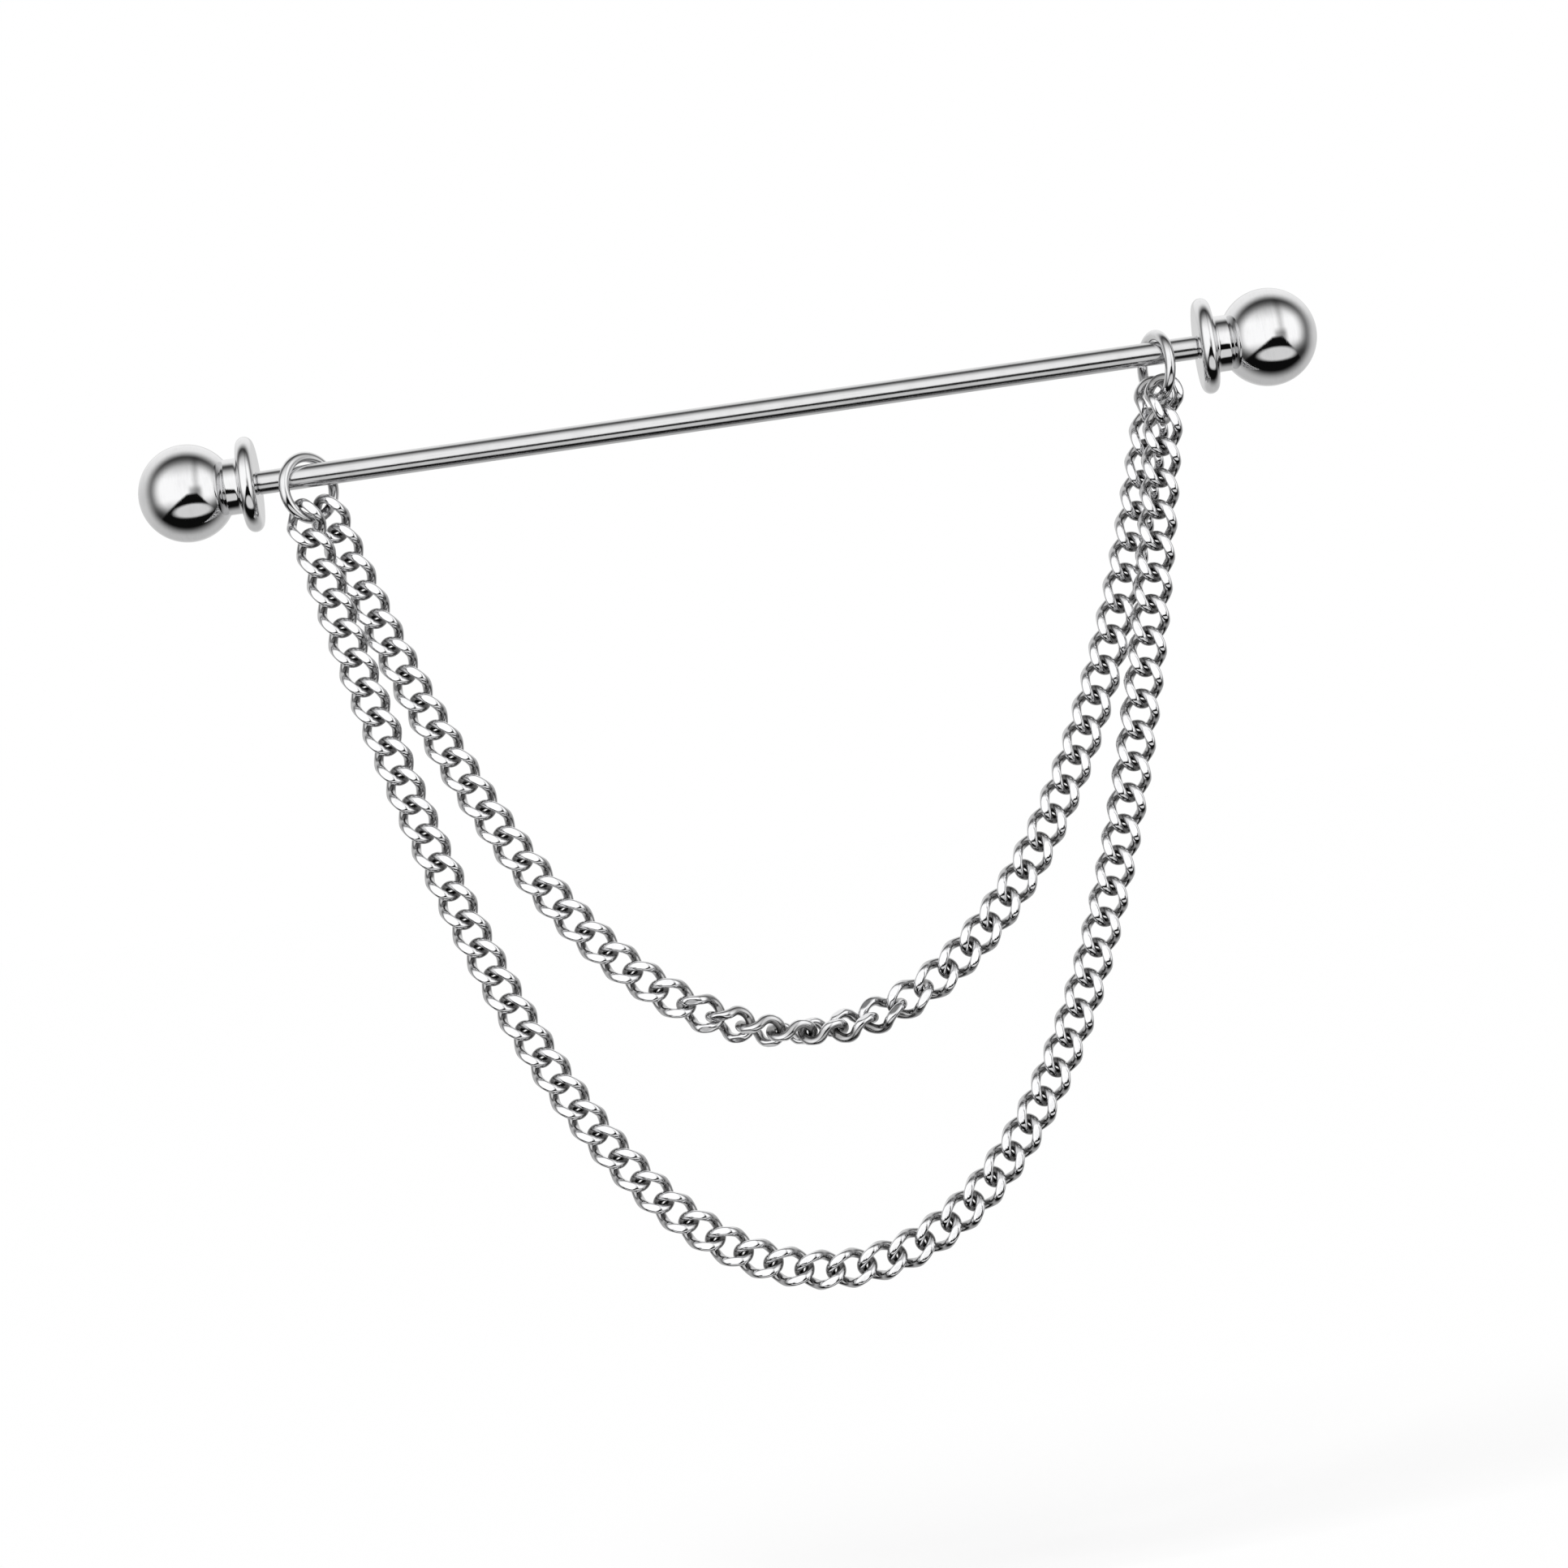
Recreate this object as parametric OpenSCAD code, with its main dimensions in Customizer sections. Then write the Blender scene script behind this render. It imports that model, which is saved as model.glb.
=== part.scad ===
// Collar bar: a straight round rod with a ball end at each side, and two curb
// chains of different length hanging in front of each other from two jump rings.
// Lengths are in millimetres. X runs along the rod, Z is up, and the object is
// looked at from the front, which is the minus Y side.

/* [Rod] */
// Distance between the two flange faces that the rod is held by
rod_span = 48.4; // [44:0.2:60]
// Diameter of the rod
rod_d = 1.2; // [1.1:0.05:1.3]
// Diameter of the reduced spigot that stands for the threaded end
spigot_d = 0.85; // [0.6:0.05:1]
// Length of the spigot inside each ball end
spigot_len = 2.2; // [1:0.1:3.5]
// Gap all round the spigot in its hole
spigot_gap = 0.03; // [0.02:0.01:0.1]
// Free depth of the hole past the end of the spigot
hole_end_gap = 0.3; // [0.1:0.05:0.8]

/* [Ball ends] */
// Diameter of the ball
ball_d = 5; // [4:0.1:7]
// Diameter of the flange that stops the rings
flange_d = 4.9; // [4:0.1:6.5]
// Thickness of the flange, with a fully rounded rim
flange_t = 0.86; // [0.5:0.02:1.4]
// Diameter of the neck between flange and ball
neck_d = 2.85; // [2:0.05:3.6]
// Distance from the outer flange face to the ball centre
neck_reach = 2.79; // [2:0.01:4]
// Height of the small cone that blends the neck into the flange
neck_blend = 0.22; // [0.1:0.02:0.4]

/* [Jump rings] */
// Outer diameter of a jump ring
ring_od = 3.75; // [3.5:0.05:4.6]
// Wire diameter of a jump ring
ring_wire = 0.55; // [0.45:0.05:0.6]
// Gap between a ring and the rod it hangs on
ring_gap = 0.04; // [0.03:0.01:0.1]
// Distance from the left flange face to the left ring centre
ring_left_inset = 2.52; // [2.2:0.02:4]
// Distance from the right flange face to the right ring centre
ring_right_inset = 2.2; // [2:0.02:4]
// Turn of the left ring about the vertical, zero is square to the rod
ring_left_turn = -46; // [-50:1:-20]
// Turn of the right ring about the vertical, zero is square to the rod
ring_right_turn = 22; // [10:1:40]
// Outward lean of the top of both rings
ring_lean = 4; // [0:1:8]

/* [Chain links] */
// Wire diameter of the chain links
link_wire = 0.5; // [0.4:0.01:0.52]
// Length of the opening inside a link
link_hole_len = 1.66; // [1.6:0.01:1.9]
// Width of the opening inside a link
link_hole_w = 1.05; // [1:0.01:1.2]
// Twist of each end bend of the curb link out of the link plane
link_twist = 40; // [36:1:46]
// Half angle over which the tight bend at each end runs
bend_half_angle = 44.2; // [40:0.2:50]
// Free play where two links hang in each other
link_play = 0.05; // [0.04:0.01:0.1]

/* [Chains] */
// Number of links in the long outer chain
outer_links = 63; // [59:1:75]
// Number of links in the short inner chain
inner_links = 49; // [46:1:55]
// Distance between the middle planes of the two chains
strand_spacing = 1.36; // [1.34:0.02:1.8]
// Number of inner links over which the half turn near the middle is spread
half_turn_links = 9; // [9:1:15]
// Number of links that the half turn lies left of the middle
half_turn_shift = 0.5; // [0:0.5:3]

/* [First and last links] */
// Slack between the left ring and the links on it
left_slack = 0.145; // [0.12:0.005:0.18]
// Slack between the right ring and the links on it
right_slack = 0.285; // [0.26:0.005:0.32]
// Turn of the left end links about their own length
left_roll = 4; // [2:1:6]
// Turn of the right end links about their own length
right_roll = 23; // [21:1:25]
// Lean towards the front of the left end link of the outer chain
left_lean_outer = 8; // [6:1:9]
// Lean towards the back of the left end link of the inner chain
left_lean_inner = 4; // [3:1:7]
// Lean towards the front of the right end link of the outer chain
right_lean_outer = 5; // [4:1:7]
// Lean towards the back of the right end link of the inner chain
right_lean_inner = 8; // [7:1:9]

/* [Hidden] */
// Facets that only the preview uses for round shapes
$fn = 40;
// Display colour of the polished steel
steel = [0.78, 0.79, 0.8];
// Steps of the searches for the ring height and the hanging curve
search_steps = 40;
// Angle between the points at which the ring is measured against the rod
ring_step = 3;
// Half a turn, shared out over the half turn links
half_turn = 180;
// Ends of the search for the hanging curve, as a ratio of half span to curve size
curve_search_low = 0.01;
curve_search_top = 6;
// Overlap of parts that are joined in one piece
merge = 0.05;
// Rise of the bead over the wire where two arcs of a link are joined
bead_rise = 0.008;
// Distance of each arc's end from the middle of its bead
bead_setback = 0.01;

// Sizes that follow from the settings above
flange_face = rod_span / 2;
rim_r = flange_t / 2;
ball_x = flange_face + flange_t + neck_reach;
hole_depth = spigot_len + hole_end_gap;
ring_r = (ring_od - ring_wire) / 2;
ring_clear = ring_wire / 2 + rod_d / 2 + ring_gap;
link_l = (link_hole_len + link_wire) / 2;
link_w = (link_hole_w + link_wire) / 2;
pitch = 2 * link_l - link_wire - link_play;
half_spacing = strand_spacing / 2;

// The bend radius for which the two bends and four side arcs of a link run
// smoothly into each other
bend_cos = cos(bend_half_angle);
bend_sin = sin(bend_half_angle);
tilt_cos = cos(link_twist);
tilt_sin = sin(link_twist);
root_b = link_l * tilt_cos * (1 - bend_cos) + bend_sin * link_w;
root_a = tilt_cos * (1 - bend_cos);
root_c = 2 * link_l * bend_sin * link_w - bend_cos * tilt_cos * (link_l ^ 2 - link_w ^ 2);
bend_r = (root_b - sqrt(root_b ^ 2 - 2 * root_a * root_c)) / (2 * root_a);
bend_x = link_l - bend_r;

// Side arc of a link, from the end of the bend to the widest point
side_from = [
    bend_x + bend_r * bend_cos,
    bend_r * bend_sin * tilt_cos,
    -bend_r * bend_sin * tilt_sin
];
side_dir = [-bend_sin, bend_cos * tilt_cos, -bend_cos * tilt_sin];
side_chord = [0, link_w, 0] - side_from;
side_half = acos(side_dir * unit(side_chord));
side_r = norm(side_chord) / (2 * sin(side_half));
side_in = unit(unit(side_chord) - cos(side_half) * side_dir);
side_centre = side_from + side_r * side_in;

// Vector and hyperbolic helpers
function unit(v) = v / norm(v);
function sinh(x) = (exp(x) - exp(-x)) / 2;
function cosh(x) = (exp(x) + exp(-x)) / 2;
function asinh(x) = ln(x + sqrt(x ^ 2 + 1));
function atanh(x) = ln((1 + x) / (1 - x)) / 2;
function turn_y(v, a) = [v.x * cos(a) + v.z * sin(a), v.y, v.z * cos(a) - v.x * sin(a)];

// Level and upright directions in the plane of a ring, side is -1 left or 1 right
function ring_turn(side) = side < 0 ? ring_left_turn : ring_right_turn;
function ring_level(side) = turn_y([sin(ring_turn(side)), -cos(ring_turn(side)), 0], ring_lean * side);
function ring_upright(side) = turn_y([0, 0, 1], ring_lean * side);
function ring_x(side) = side < 0 ? ring_left_inset - flange_face : flange_face - ring_right_inset;
function ring_point(side, drop, a) =
    [ring_x(side), 0, -drop] + ring_r * (sin(a) * ring_level(side) + cos(a) * ring_upright(side));

// Height at which a ring hangs on the rod with its gap
function rod_distance(side, drop) =
    min([for (a = [0 : ring_step : 359]) let (p = ring_point(side, drop, a)) norm([p.y, p.z])]);
function hang(side, low, high, steps) =
    steps == 0 ? low :
    let (mid = (low + high) / 2)
    rod_distance(side, mid) >= ring_clear ? hang(side, mid, high, steps - 1)
                                          : hang(side, low, mid, steps - 1);
drop_left = hang(-1, 0, ring_r, search_steps);
drop_right = hang(1, 0, ring_r, search_steps);

// Point of a ring's lower half that lies at the given depth
function seat(side, depth) =
    let (share = depth / (ring_r * ring_level(side).y))
    ring_point(side, side < 0 ? drop_left : drop_right, half_turn - asin(share));

// Ratio of half span to curve size for a hanging curve of the given length ratio
function curve_ratio(wanted, low, high, steps) =
    steps == 0 ? low :
    let (mid = (low + high) / 2)
    sinh(mid) / mid < wanted ? curve_ratio(wanted, mid, high, steps - 1)
                             : curve_ratio(wanted, low, mid, steps - 1);

// Points at which the links of one chain meet, from the left ring to the right ring
function chain_points(count, front, lean_left, lean_right) =
    let (grip_left = ring_wire / 2 + left_slack)
    let (grip_right = ring_wire / 2 + right_slack)
    let (reach_left = pitch - grip_left)
    let (reach_right = pitch - grip_right)
    let (a = seat(-1, front * (half_spacing - reach_left * sin(lean_left))))
    let (b = seat(1, front * (half_spacing - reach_right * sin(lean_right))))
    let (first = reach_left * cos(lean_left))
    let (whole = first + (count - 2) * pitch + reach_right * cos(lean_right))
    let (span = b.x - a.x)
    let (rise = b.z - a.z)
    let (wanted = sqrt(whole ^ 2 - rise ^ 2) / span)
    let (size = span / 2 / curve_ratio(wanted, curve_search_low, curve_search_top, search_steps))
    let (low_x = (a.x + b.x) / 2 - size * atanh(rise / whole))
    let (start = size * sinh((a.x - low_x) / size))
    let (low_z = a.z - size * cosh((a.x - low_x) / size))
    let (inner = [
        for (k = [0 : count - 2])
            let (x = low_x + size * asinh((first + k * pitch + start) / size))
            [x, front * half_spacing, low_z + size * cosh((x - low_x) / size)]
    ])
    concat([a - grip_left * unit(inner[0] - a)], inner, [b - grip_right * unit(inner[count - 2] - b)]);

outer_points = chain_points(outer_links, -1, left_lean_outer, right_lean_outer);
inner_points = chain_points(inner_links, 1, left_lean_inner, right_lean_inner);

// Turn of a link about its own length
function end_roll(i, count) = i == 1 ? left_roll : i == count ? right_roll : 0;
function half_turn_at(i) =
    let (place = i - (inner_links + 1) / 2 + half_turn_shift)
    half_turn * min(1, max(0, place / half_turn_links + 0.5));

// A piece of round wire bent along an arc, stopped just short of both its ends
module wire_arc(centre, from, along, radius, angle) {
    normal = cross(from, along);
    short = bead_setback / radius * 180 / PI;
    multmatrix([
        [from.x, along.x, normal.x, centre.x],
        [from.y, along.y, normal.y, centre.y],
        [from.z, along.z, normal.z, centre.z],
        [0, 0, 0, 1]
    ])
        rotate([0, 0, short])
            rotate_extrude(angle = angle - 2 * short)
                translate([radius, 0])
                    circle(d = link_wire);
}

module end_bend() {
    wire_arc(
        [bend_x, 0, 0],
        [bend_cos, -bend_sin * tilt_cos, bend_sin * tilt_sin],
        [bend_sin, bend_cos * tilt_cos, -bend_cos * tilt_sin],
        bend_r,
        2 * bend_half_angle
    );
}

// A side arc with the two small beads that join it to its neighbours
module side_arc() {
    wire_arc(side_centre, -side_in, side_dir, side_r, 2 * side_half);
    translate(side_from) sphere(d = link_wire + 2 * bead_rise);
}

// One curb link, lying along X with its flat side towards Z
module curb_link() {
    union() {
        end_bend();
        rotate([0, 180, 0]) end_bend();
        side_arc();
        rotate([180, 0, 0]) side_arc();
        rotate([0, 180, 0]) side_arc();
        rotate([0, 0, 180]) side_arc();
        translate([0, link_w, 0]) sphere(d = link_wire + 2 * bead_rise);
        translate([0, -link_w, 0]) sphere(d = link_wire + 2 * bead_rise);
    }
}

module placed_link(points, i, roll) {
    along = unit(points[i] - points[i - 1]);
    across = unit(cross([0, -1, 0], along));
    face = cross(along, across);
    centre = (points[i] + points[i - 1]) / 2;
    multmatrix([
        [along.x, across.x, face.x, centre.x],
        [along.y, across.y, face.y, centre.y],
        [along.z, across.z, face.z, centre.z],
        [0, 0, 0, 1]
    ])
        rotate([roll, 0, 0])
            curb_link();
}

module outer_link(i) {
    placed_link(outer_points, i, end_roll(i, outer_links));
}

module inner_link(i) {
    placed_link(inner_points, i, end_roll(i, inner_links) + half_turn_at(i));
}

// The left and the right link at one level of a chain
module outer_pair(i) {
    outer_link(i);
    outer_link(outer_links + 1 - i);
}

module inner_pair(i) {
    inner_link(i);
    inner_link(inner_links + 1 - i);
}

module jump_ring(side, drop) {
    translate([ring_x(side), 0, -drop])
        rotate([0, ring_lean * side, 0])
            rotate([0, 90, ring_turn(side)])
                rotate_extrude()
                    translate([ring_r, 0])
                        circle(d = ring_wire);
}

// Ball, neck and flange in one piece, drawn along Z with the flange face at zero
module ball_end() {
    difference() {
        union() {
            rotate_extrude()
                translate([flange_d / 2 - rim_r, rim_r])
                    circle(r = rim_r);
            cylinder(h = flange_t, d = flange_d - flange_t);
            cylinder(h = flange_t + neck_reach, d = neck_d);
            translate([0, 0, flange_t])
                cylinder(h = neck_blend, d1 = neck_d + 2 * neck_blend, d2 = neck_d);
            translate([0, 0, flange_t + neck_reach])
                sphere(d = ball_d);
        }
        translate([0, 0, -merge])
            cylinder(h = hole_depth + merge, d = spigot_d + 2 * spigot_gap);
    }
}

// The parts

module rod() color(steel) rotate([0, 90, 0]) {
    union() {
        cylinder(h = rod_span, d = rod_d, center = true);
        cylinder(h = rod_span + 2 * spigot_len, d = spigot_d, center = true);
    }
}

module finial_left() color(steel) translate([-flange_face, 0, 0]) rotate([0, -90, 0]) ball_end();

module finial_right() color(steel) translate([flange_face, 0, 0]) rotate([0, 90, 0]) ball_end();

module ring_left() color(steel) jump_ring(-1, drop_left);

module ring_right() color(steel) jump_ring(1, drop_right);

module outer_bottom() color(steel) for (i = [outer_bands + 1 : outer_links - outer_bands]) outer_link(i);

module inner_bottom() color(steel) for (i = [inner_bands + 1 : inner_links - inner_bands]) inner_link(i);

module outer_01() color(steel) outer_pair(1);
module outer_02() color(steel) outer_pair(2);
module outer_03() color(steel) outer_pair(3);
module outer_04() color(steel) outer_pair(4);
module outer_05() color(steel) outer_pair(5);
module outer_06() color(steel) outer_pair(6);
module outer_07() color(steel) outer_pair(7);
module outer_08() color(steel) outer_pair(8);
module outer_09() color(steel) outer_pair(9);
module outer_10() color(steel) outer_pair(10);
module outer_11() color(steel) outer_pair(11);
module outer_12() color(steel) outer_pair(12);
module outer_13() color(steel) outer_pair(13);
module outer_14() color(steel) outer_pair(14);
module outer_15() color(steel) outer_pair(15);
module outer_16() color(steel) outer_pair(16);
module outer_17() color(steel) outer_pair(17);
module outer_18() color(steel) outer_pair(18);
module outer_19() color(steel) outer_pair(19);
module outer_20() color(steel) outer_pair(20);
module outer_21() color(steel) outer_pair(21);
module outer_22() color(steel) outer_pair(22);
module outer_23() color(steel) outer_pair(23);
module outer_24() color(steel) outer_pair(24);
module outer_25() color(steel) outer_pair(25);
module outer_26() color(steel) outer_pair(26);
module outer_27() color(steel) outer_pair(27);
module outer_28() color(steel) outer_pair(28);

module inner_01() color(steel) inner_pair(1);
module inner_02() color(steel) inner_pair(2);
module inner_03() color(steel) inner_pair(3);
module inner_04() color(steel) inner_pair(4);
module inner_05() color(steel) inner_pair(5);
module inner_06() color(steel) inner_pair(6);
module inner_07() color(steel) inner_pair(7);
module inner_08() color(steel) inner_pair(8);
module inner_09() color(steel) inner_pair(9);
module inner_10() color(steel) inner_pair(10);
module inner_11() color(steel) inner_pair(11);
module inner_12() color(steel) inner_pair(12);
module inner_13() color(steel) inner_pair(13);
module inner_14() color(steel) inner_pair(14);
module inner_15() color(steel) inner_pair(15);
module inner_16() color(steel) inner_pair(16);
module inner_17() color(steel) inner_pair(17);
module inner_18() color(steel) inner_pair(18);
module inner_19() color(steel) inner_pair(19);
module inner_20() color(steel) inner_pair(20);

NODES = [
    "rod", "finial_left", "finial_right", "ring_left", "ring_right",
    "outer_01", "outer_02", "outer_03", "outer_04", "outer_05",
    "outer_06", "outer_07", "outer_08", "outer_09", "outer_10",
    "outer_11", "outer_12", "outer_13", "outer_14", "outer_15",
    "outer_16", "outer_17", "outer_18", "outer_19", "outer_20",
    "outer_21", "outer_22", "outer_23", "outer_24", "outer_25",
    "outer_26", "outer_27", "outer_28", "outer_bottom", "inner_01",
    "inner_02", "inner_03", "inner_04", "inner_05", "inner_06",
    "inner_07", "inner_08", "inner_09", "inner_10", "inner_11",
    "inner_12", "inner_13", "inner_14", "inner_15", "inner_16",
    "inner_17", "inner_18", "inner_19", "inner_20", "inner_bottom"
];

// Link pairs above the lowest part of each chain, one for each pair that NODES names
outer_bands = len([for (name = NODES) if (name[0] == "o") name]) - 1;
inner_bands = len([for (name = NODES) if (name[0] == "i") name]) - 1;

rod();
finial_left();
finial_right();
ring_left();
ring_right();
outer_01();
outer_02();
outer_03();
outer_04();
outer_05();
outer_06();
outer_07();
outer_08();
outer_09();
outer_10();
outer_11();
outer_12();
outer_13();
outer_14();
outer_15();
outer_16();
outer_17();
outer_18();
outer_19();
outer_20();
outer_21();
outer_22();
outer_23();
outer_24();
outer_25();
outer_26();
outer_27();
outer_28();
outer_bottom();
inner_01();
inner_02();
inner_03();
inner_04();
inner_05();
inner_06();
inner_07();
inner_08();
inner_09();
inner_10();
inner_11();
inner_12();
inner_13();
inner_14();
inner_15();
inner_16();
inner_17();
inner_18();
inner_19();
inner_20();
inner_bottom();
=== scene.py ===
"""Looks of a polished steel collar bar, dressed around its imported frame."""

import logging
import math
from collections.abc import Callable, Sequence
from dataclasses import dataclass, field
from enum import Enum

import bmesh
import bpy
import numpy as np
from mathutils import Matrix, Vector


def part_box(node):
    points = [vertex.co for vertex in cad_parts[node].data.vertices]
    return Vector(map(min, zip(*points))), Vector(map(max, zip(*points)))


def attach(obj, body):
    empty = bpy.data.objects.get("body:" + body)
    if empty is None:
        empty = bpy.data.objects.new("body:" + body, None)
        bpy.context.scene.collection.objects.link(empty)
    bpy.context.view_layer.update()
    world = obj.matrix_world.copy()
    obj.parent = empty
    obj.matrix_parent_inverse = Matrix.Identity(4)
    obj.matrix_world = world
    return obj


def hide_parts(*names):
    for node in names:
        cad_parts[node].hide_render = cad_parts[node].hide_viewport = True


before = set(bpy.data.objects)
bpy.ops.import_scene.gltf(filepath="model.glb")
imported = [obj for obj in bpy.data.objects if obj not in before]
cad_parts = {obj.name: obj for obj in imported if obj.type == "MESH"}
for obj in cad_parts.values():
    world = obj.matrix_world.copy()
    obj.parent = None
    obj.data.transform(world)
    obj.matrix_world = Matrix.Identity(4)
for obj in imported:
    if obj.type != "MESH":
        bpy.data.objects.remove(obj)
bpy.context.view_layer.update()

LOG = logging.getLogger("collar_bar")
MM = 0.001
# Points are welded on a grid with this many steps to a metre.
WELDS_PER_M = 1e8
NOISE_ROUGHNESS = 0.55
# Name of the mesh attribute that holds painted shade on the chain's links, where they cross and
# on the sides of their wire.
PAINTED_SHADE = "painted_shade"
Pair = tuple[float, float]
Point = tuple[float, float, float]
EVEN: Point = (1.0, 1.0, 1.0)
WHITE = (1, 1, 1, 1)
UPRIGHT = Vector((0, 0, 1))


class Side(Enum):
    """The two ends of the bar, as the sign of X."""

    LEFT = -1
    RIGHT = 1


class Expr:
    """A node socket on which arithmetic adds Math nodes."""

    def __init__(self, graph: "Graph", socket: bpy.types.NodeSocket) -> None:
        """Wraps one output socket.

        Args:
            graph: The graph that new nodes join.
            socket: The output socket that holds the value.
        """
        self.graph = graph
        self.socket = socket

    def apply(self, operation: str, *others: "Expr | float") -> "Expr":
        """Applies a Math operation to the socket.

        Args:
            operation: Blender's name of the operation, such as ARCSINE.
            others: Sockets or numbers for the inputs after the first.

        Returns:
            The node's value.
        """
        return self.graph.maths(operation, self, *others)

    def __add__(self, other: "Expr | float") -> "Expr":
        """Sum."""
        return self.apply("ADD", other)

    def __radd__(self, other: float) -> "Expr":
        """Sum with a number in front."""
        return self.graph.maths("ADD", other, self)

    def __sub__(self, other: "Expr | float") -> "Expr":
        """Difference."""
        return self.apply("SUBTRACT", other)

    def __rsub__(self, other: float) -> "Expr":
        """Difference from a number."""
        return self.graph.maths("SUBTRACT", other, self)

    def __mul__(self, other: "Expr | float") -> "Expr":
        """Product."""
        return self.apply("MULTIPLY", other)

    def __rmul__(self, other: float) -> "Expr":
        """Product with a number in front."""
        return self.graph.maths("MULTIPLY", other, self)

    def __truediv__(self, other: "Expr | float") -> "Expr":
        """Quotient."""
        return self.apply("DIVIDE", other)

    def __rtruediv__(self, other: float) -> "Expr":
        """Quotient of a number by the socket."""
        return self.graph.maths("DIVIDE", other, self)

    def fade(self, start: float, end: float) -> "Expr":
        """Smooth step from 0 at start to 1 at end.

        Args:
            start: Value at which the step starts.
            end: Value at which it is complete.

        Returns:
            The stepped value.
        """
        step = self.graph.add(
            "MapRange", {"interpolation_type": "SMOOTHSTEP"},
            Value=self, From_Min=start, From_Max=end,
        )
        return self.graph.value(step, "Result")

    def band(self, low: float, high: float, soft: float) -> "Expr":
        """1 between low and high, 0 outside, with soft edges.

        Args:
            low: Lower edge.
            high: Upper edge.
            soft: Half width of each edge.

        Returns:
            The mask.
        """
        return self.fade(low - soft, low + soft) * (1 - self.fade(high - soft, high + soft))


class Graph:
    """One node tree, filled through a single method."""

    def __init__(self, tree: bpy.types.NodeTree) -> None:
        """Empties the tree.

        Args:
            tree: The tree of a material or of the world.
        """
        self.tree = tree
        tree.nodes.clear()

    def add(
        self, kind: str, settings: dict[str, object] | None = None,
        ordered: Sequence[object] = (), **named: object,
    ) -> bpy.types.Node:
        """Adds a node.

        Args:
            kind: Blender's type name without its ShaderNode prefix.
            settings: Attributes of the node, set before its sockets.
            ordered: Values or links for its first sockets, in order.
            named: Values or links by socket name, with _ for a space.

        Returns:
            The new node.
        """
        node = self.tree.nodes.new("ShaderNode" + kind)
        for name, value in (settings or {}).items():
            setattr(node, name, value)
        for slot, value in zip(node.inputs, ordered):
            self._fill(slot, value)
        for name, value in named.items():
            wanted = name.replace("_", " ")
            self._fill(next(s for s in node.inputs if s.enabled and s.name == wanted), value)
        return node

    def _fill(self, slot: bpy.types.NodeSocket, value: object) -> None:
        """Fills one input socket.

        Args:
            slot: The input socket.
            value: An expression to link, or the socket's own value.
        """
        if isinstance(value, Expr):
            self.tree.links.new(value.socket, slot)
        else:
            slot.default_value = value

    def maths(self, operation: str, *values: Expr | float) -> Expr:
        """Adds one Math node.

        Args:
            operation: Blender's name of the operation.
            values: Sockets or numbers for its inputs.

        Returns:
            The node's value.
        """
        return Expr(self, self.add("Math", {"operation": operation}, values).outputs[0])

    def value(self, node: bpy.types.Node, name: str) -> Expr:
        """An output socket as an expression."""
        return Expr(self, next(s for s in node.outputs if s.enabled and s.name == name))

    def axes(self, source: Expr) -> tuple[Expr, Expr, Expr]:
        """The three parts of a vector."""
        split = self.add("SeparateXYZ", Vector=source)
        return self.value(split, "X"), self.value(split, "Y"), self.value(split, "Z")

    def stretched_noise(self, where: Expr, stretch: Point, scale: float, detail: float) -> Expr:
        """Noise whose grains are drawn out along the axes.

        Args:
            where: The place, as a vector.
            stretch: Factor on each coordinate; a small one draws the grain out.
            scale: Grains per metre before stretching.
            detail: Levels of finer noise.

        Returns:
            The noise, from 0 to 1.
        """
        mapped = self.add("Mapping", Vector=where, Scale=stretch)
        noise = self.add(
            "TexNoise", {"noise_dimensions": "3D"},
            Vector=self.value(mapped, "Vector"), Scale=scale, Detail=detail,
            Roughness=NOISE_ROUGHNESS,
        )
        return self.value(noise, "Fac")


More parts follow.
